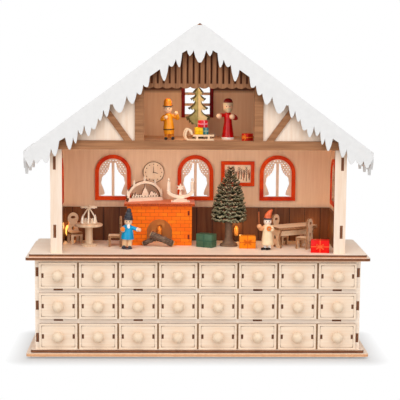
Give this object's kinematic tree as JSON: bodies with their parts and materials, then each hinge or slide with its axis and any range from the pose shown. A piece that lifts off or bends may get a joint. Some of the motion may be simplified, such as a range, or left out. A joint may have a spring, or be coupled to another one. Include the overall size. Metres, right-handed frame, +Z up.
{
  "type": "advent calendar",
  "caption": "Wooden advent calendar: a lit, furnished house with a snowy gable roof on a chest of small pull-out drawers.",
  "frame": {"origin": "middle of the bounding box on the ground under the feet", "axes": "+X to the right along the front, +Y from the front to the back, +Z up"},
  "size_m": [0.484, 0.1578, 0.4672],
  "materials": {
    "birch_ply": "natural birch plywood, laser-cut edges burnt dark",
    "brown_stain": "brown stained plywood",
    "snow_paint": "matt white painted plywood",
    "red_paint": "red-orange painted plywood",
    "brick_paint": "orange painted plywood with engraved bricks",
    "wood_shavings": "curled wood shavings on a turned stand",
    "green_stain": "green stained plywood",
    "figure_paint": "satin paint on turned wood",
    "parcel_paint": "satin paint on wood",
    "lamp_glass": "clear warm lamp",
    "wire_sleeve": "smooth"
  },
  "bodies": {
    "case": {"attic_figures": "figure_paint", "attic_floor": "birch_ply", "attic_shutters": "red_paint", "attic_tree": "green_stain", "chairs": "birch_ply", "chest_back": "birch_ply", "chest_floor": "birch_ply", "chest_front_frame": "birch_ply", "chest_side_panels": "birch_ply", "christmas_tree": "wood_shavings", "deck_lower": "birch_ply", "deck_upper": "birch_ply", "drawer_dividers": "birch_ply", "drawer_shelves": "birch_ply", "feet": "birch_ply", "fireplace": "brick_paint", "gable_slats": "brown_stain", "gift_parcels": "parcel_paint", "house_back": "birch_ply", "house_front": "birch_ply", "house_side_walls": "birch_ply", "lamp_wiring": "wire_sleeve", "lamps": "lamp_glass", "miniature_ornaments": "birch_ply", "plinth_board": "birch_ply", "roof_panels": "birch_ply", "room_figures": "figure_paint", "sled": "birch_ply", "snow_eaves": "snow_paint", "snow_front": "snow_paint", "tables": "birch_ply", "timber_frame": "brown_stain", "wainscot": "brown_stain", "wall_ornaments": "birch_ply", "window_curtains": "birch_ply", "window_frames": "red_paint"},
    "drawer_01": {"drawer_01": "birch_ply"},
    "drawer_02": {"drawer_02": "birch_ply"},
    "drawer_03": {"drawer_03": "birch_ply"},
    "drawer_04": {"drawer_04": "birch_ply"},
    "drawer_05": {"drawer_05": "birch_ply"},
    "drawer_06": {"drawer_06": "birch_ply"},
    "drawer_07": {"drawer_07": "birch_ply"},
    "drawer_08": {"drawer_08": "birch_ply"},
    "drawer_09": {"drawer_09": "birch_ply"},
    "drawer_10": {"drawer_10": "birch_ply"},
    "drawer_11": {"drawer_11": "birch_ply"},
    "drawer_12": {"drawer_12": "birch_ply"},
    "drawer_13": {"drawer_13": "birch_ply"},
    "drawer_14": {"drawer_14": "birch_ply"},
    "drawer_15": {"drawer_15": "birch_ply"},
    "drawer_16": {"drawer_16": "birch_ply"},
    "drawer_17": {"drawer_17": "birch_ply"},
    "drawer_18": {"drawer_18": "birch_ply"},
    "drawer_19": {"drawer_19": "birch_ply"},
    "drawer_20": {"drawer_20": "birch_ply"},
    "drawer_21": {"drawer_21": "birch_ply"},
    "drawer_22": {"drawer_22": "birch_ply"},
    "drawer_23": {"drawer_23": "birch_ply"},
    "drawer_24": {"drawer_24": "birch_ply"}
  },
  "joints": [
    {"name": "drawer_01_slide", "type": "slide", "parent": "case", "child": "drawer_01", "axis": [0, -1, 0], "range_m": [0, 0.095]},
    {"name": "drawer_02_slide", "type": "slide", "parent": "case", "child": "drawer_02", "axis": [0, -1, 0], "range_m": [0, 0.095]},
    {"name": "drawer_03_slide", "type": "slide", "parent": "case", "child": "drawer_03", "axis": [0, -1, 0], "range_m": [0, 0.095]},
    {"name": "drawer_04_slide", "type": "slide", "parent": "case", "child": "drawer_04", "axis": [0, -1, 0], "range_m": [0, 0.095]},
    {"name": "drawer_05_slide", "type": "slide", "parent": "case", "child": "drawer_05", "axis": [0, -1, 0], "range_m": [0, 0.095]},
    {"name": "drawer_06_slide", "type": "slide", "parent": "case", "child": "drawer_06", "axis": [0, -1, 0], "range_m": [0, 0.095]},
    {"name": "drawer_07_slide", "type": "slide", "parent": "case", "child": "drawer_07", "axis": [0, -1, 0], "range_m": [0, 0.095]},
    {"name": "drawer_08_slide", "type": "slide", "parent": "case", "child": "drawer_08", "axis": [0, -1, 0], "range_m": [0, 0.095]},
    {"name": "drawer_09_slide", "type": "slide", "parent": "case", "child": "drawer_09", "axis": [0, -1, 0], "range_m": [0, 0.095]},
    {"name": "drawer_10_slide", "type": "slide", "parent": "case", "child": "drawer_10", "axis": [0, -1, 0], "range_m": [0, 0.095]},
    {"name": "drawer_11_slide", "type": "slide", "parent": "case", "child": "drawer_11", "axis": [0, -1, 0], "range_m": [0, 0.095]},
    {"name": "drawer_12_slide", "type": "slide", "parent": "case", "child": "drawer_12", "axis": [0, -1, 0], "range_m": [0, 0.095]},
    {"name": "drawer_13_slide", "type": "slide", "parent": "case", "child": "drawer_13", "axis": [0, -1, 0], "range_m": [0, 0.095]},
    {"name": "drawer_14_slide", "type": "slide", "parent": "case", "child": "drawer_14", "axis": [0, -1, 0], "range_m": [0, 0.095]},
    {"name": "drawer_15_slide", "type": "slide", "parent": "case", "child": "drawer_15", "axis": [0, -1, 0], "range_m": [0, 0.095]},
    {"name": "drawer_16_slide", "type": "slide", "parent": "case", "child": "drawer_16", "axis": [0, -1, 0], "range_m": [0, 0.095]},
    {"name": "drawer_17_slide", "type": "slide", "parent": "case", "child": "drawer_17", "axis": [0, -1, 0], "range_m": [0, 0.095]},
    {"name": "drawer_18_slide", "type": "slide", "parent": "case", "child": "drawer_18", "axis": [0, -1, 0], "range_m": [0, 0.095]},
    {"name": "drawer_19_slide", "type": "slide", "parent": "case", "child": "drawer_19", "axis": [0, -1, 0], "range_m": [0, 0.095]},
    {"name": "drawer_20_slide", "type": "slide", "parent": "case", "child": "drawer_20", "axis": [0, -1, 0], "range_m": [0, 0.095]},
    {"name": "drawer_21_slide", "type": "slide", "parent": "case", "child": "drawer_21", "axis": [0, -1, 0], "range_m": [0, 0.095]},
    {"name": "drawer_22_slide", "type": "slide", "parent": "case", "child": "drawer_22", "axis": [0, -1, 0], "range_m": [0, 0.095]},
    {"name": "drawer_23_slide", "type": "slide", "parent": "case", "child": "drawer_23", "axis": [0, -1, 0], "range_m": [0, 0.095]},
    {"name": "drawer_24_slide", "type": "slide", "parent": "case", "child": "drawer_24", "axis": [0, -1, 0], "range_m": [0, 0.095]}
  ]
}
